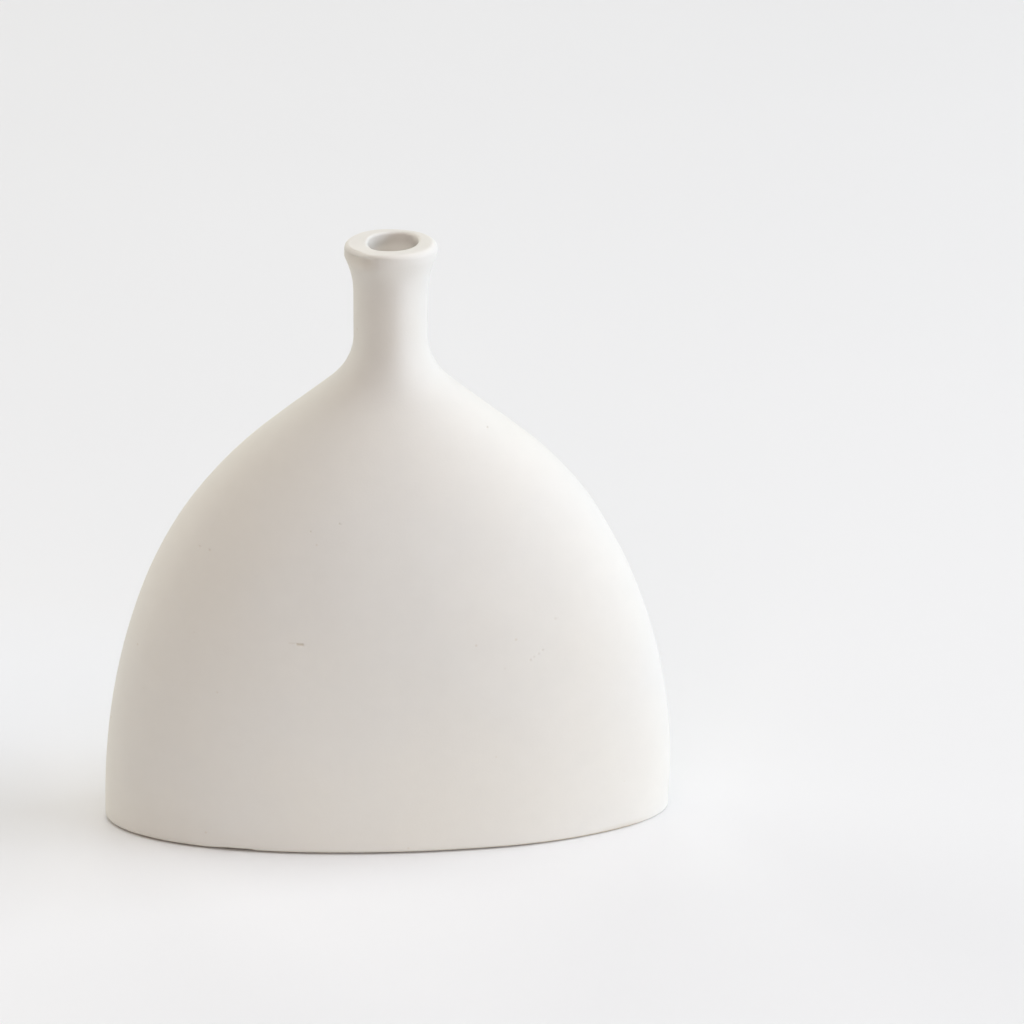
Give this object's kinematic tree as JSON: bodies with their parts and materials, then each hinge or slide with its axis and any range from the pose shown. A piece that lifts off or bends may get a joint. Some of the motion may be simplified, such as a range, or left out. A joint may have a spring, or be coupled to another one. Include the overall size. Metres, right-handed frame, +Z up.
{
  "type": "flattened bottle vase",
  "caption": "Free-standing flattened bottle vase in matte unglazed ceramic, with an oval domed body, a slim round neck and a hand-rolled lip around the mouth.",
  "frame": {"origin": "middle of the foot, on the surface that the vase stands on", "axes": "+Z up along the neck, +X along the wide way of the oval body to the viewer's right, +Y to the back; the pictured face looks towards -Y"},
  "size_m": [0.18, 0.068, 0.1917],
  "materials": {
    "bisque": "matte, unglazed, fine grained"
  },
  "bodies": {
    "root": {"base_slab": "bisque", "front_shell": "bisque", "back_shell": "bisque", "neck_tube": "bisque", "lip_coil": "bisque", "floor_coil": "bisque", "left_seam_coil": "bisque", "right_seam_coil": "bisque"}
  },
  "joints": []
}
